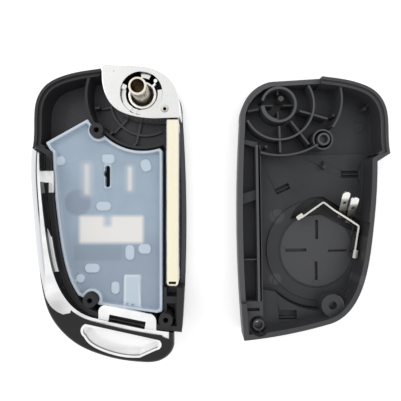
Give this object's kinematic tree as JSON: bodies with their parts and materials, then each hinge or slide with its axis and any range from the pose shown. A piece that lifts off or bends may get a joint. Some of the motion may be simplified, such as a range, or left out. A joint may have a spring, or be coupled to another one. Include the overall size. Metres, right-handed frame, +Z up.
{
  "type": "flip remote key",
  "caption": "Flip remote key taken apart for repair: front half with folded blade, chrome trim, key-ring loop and silicone pad, and the back cover beside it.",
  "frame": {"origin": "centre of the box round both halves, on the table", "axes": "+X across the two halves, towards the back cover; +Y towards the head end; +Z up from the table"},
  "size_m": [0.09, 0.074, 0.0158],
  "materials": {
    "case_plastic": "fine moulded grain, black",
    "chrome_trim": "bright chrome plating on plastic",
    "gloss_black": "high gloss black",
    "silicone": "translucent blue-grey silicone, satin",
    "button_plastic": "satin black",
    "nickel": "nickel plated",
    "cast_head": "bright plated zinc casting",
    "blade_steel": "nickel plated, fine grinding along its length",
    "spring_steel": "drawn spring wire"
  },
  "bodies": {
    "key": {"key_head": "cast_head", "key_blade": "blade_steel", "blade_pin": "nickel", "torsion_spring": "spring_steel", "back_cover": "case_plastic", "battery_contact": "nickel"},
    "front_case": {"front_housing": "case_plastic", "trim_frame": "chrome_trim", "key_loop": "gloss_black", "loop_liner": "chrome_trim", "button_membrane": "silicone"},
    "release": {"release_button": "button_plastic", "pivot_post": "nickel"},
    "lock": {"lock_button": "button_plastic"},
    "unlock": {"unlock_button": "button_plastic"},
    "boot": {"boot_button": "button_plastic"}
  },
  "joints": [
    {"name": "flip", "type": "hinge", "parent": "key", "child": "front_case", "pos_m": [-0.01713, 0.03007, 0], "axis": [0, 0, 1], "range_deg": [-180, 0]},
    {"name": "release_press", "type": "slide", "parent": "front_case", "child": "release", "axis": [0, 0, 1], "range_m": [0, 0.0015], "stiffness_N_per_m": 300},
    {"name": "lock_press", "type": "slide", "parent": "front_case", "child": "lock", "axis": [0, 0, 1], "range_m": [0, 0.0005], "stiffness_N_per_m": 200},
    {"name": "unlock_press", "type": "slide", "parent": "front_case", "child": "unlock", "axis": [0, 0, 1], "range_m": [0, 0.0005], "stiffness_N_per_m": 200},
    {"name": "boot_press", "type": "slide", "parent": "front_case", "child": "boot", "axis": [0, 0, 1], "range_m": [0, 0.0005], "stiffness_N_per_m": 200}
  ]
}
